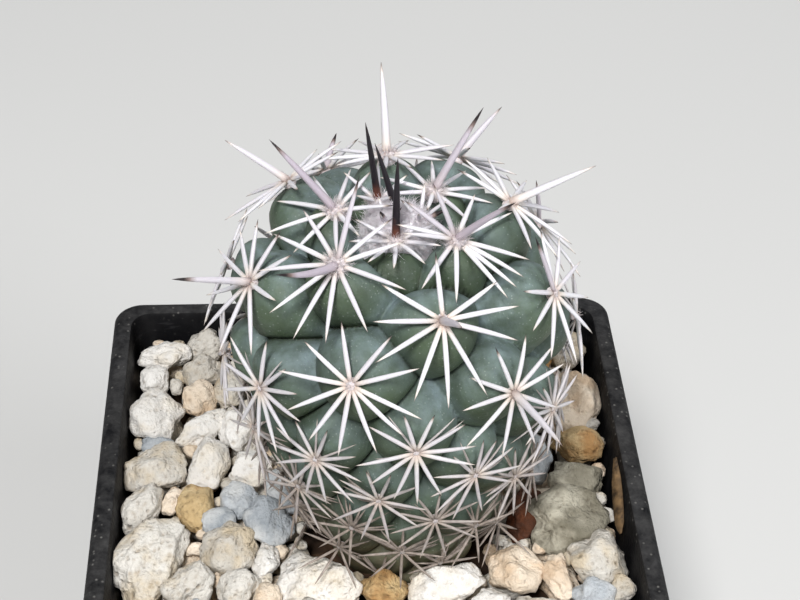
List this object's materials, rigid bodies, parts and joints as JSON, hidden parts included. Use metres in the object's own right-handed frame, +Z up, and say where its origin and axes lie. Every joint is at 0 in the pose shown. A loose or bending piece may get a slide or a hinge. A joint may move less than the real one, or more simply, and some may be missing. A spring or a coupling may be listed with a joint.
{
  "type": "potted cactus",
  "caption": "Young globular coryphantha with low tubercles and starry white spines, in a square black plastic pot with a pebble top dressing.",
  "frame": {"origin": "centre of the pot's underside, on the surface that it stands on", "axes": "+Z up, X and Y along the pot's sides, +Y away from the picture's viewer"},
  "size_m": [0.08, 0.08, 0.1362],
  "materials": {
    "pot": "matt black moulded plastic, dusty and lightly scuffed along the rim",
    "soil": "dark crumbly potting mix, under the stones",
    "gravel": "dry cream, grey, ochre and rust pebbles, pitted and matt",
    "stem": "grey-green waxy skin with a pale bloom, darker in the folds",
    "wool": "pinkish white wool with near-black young spines",
    "spines": "creamy white, smooth, with pink-brown felt at the root and dark tips",
    "old_spines": "weathered grey-tan, dull"
  },
  "bodies": {
    "root": {"pot": "pot", "soil": "soil", "gravel": "gravel", "stem": "stem", "crown": "wool", "spines_05": "spines", "spines_06": "spines", "spines_07": "spines", "spines_08": "spines", "spines_09": "spines", "spines_10": "spines", "spines_11": "spines", "spines_12": "spines", "spines_13": "spines", "spines_14": "spines", "spines_15": "spines", "spines_16": "spines", "spines_17": "spines", "spines_18": "spines", "spines_19": "spines", "spines_20": "spines", "spines_21": "spines", "spines_22": "spines", "spines_23": "spines", "spines_24": "spines", "spines_25": "spines", "spines_26": "spines", "spines_27": "spines", "spines_28": "spines", "spines_29": "spines", "spines_30": "spines", "spines_31": "spines", "spines_32": "spines", "spines_33": "spines", "spines_34": "spines", "spines_35": "spines", "spines_36": "spines", "spines_37": "spines", "spines_38": "spines", "spines_39": "spines", "spines_40": "spines", "spines_41": "spines", "spines_42": "spines", "spines_43": "spines", "spines_44": "spines", "spines_45": "spines", "spines_46": "spines", "spines_47": "spines", "spines_48": "spines", "old_spines_1": "old_spines", "old_spines_2": "old_spines", "old_spines_3": "old_spines", "old_spines_4": "old_spines", "old_spines_5": "old_spines", "old_spines_6": "old_spines", "old_spines_7": "old_spines", "old_spines_8": "old_spines"}
  },
  "joints": []
}
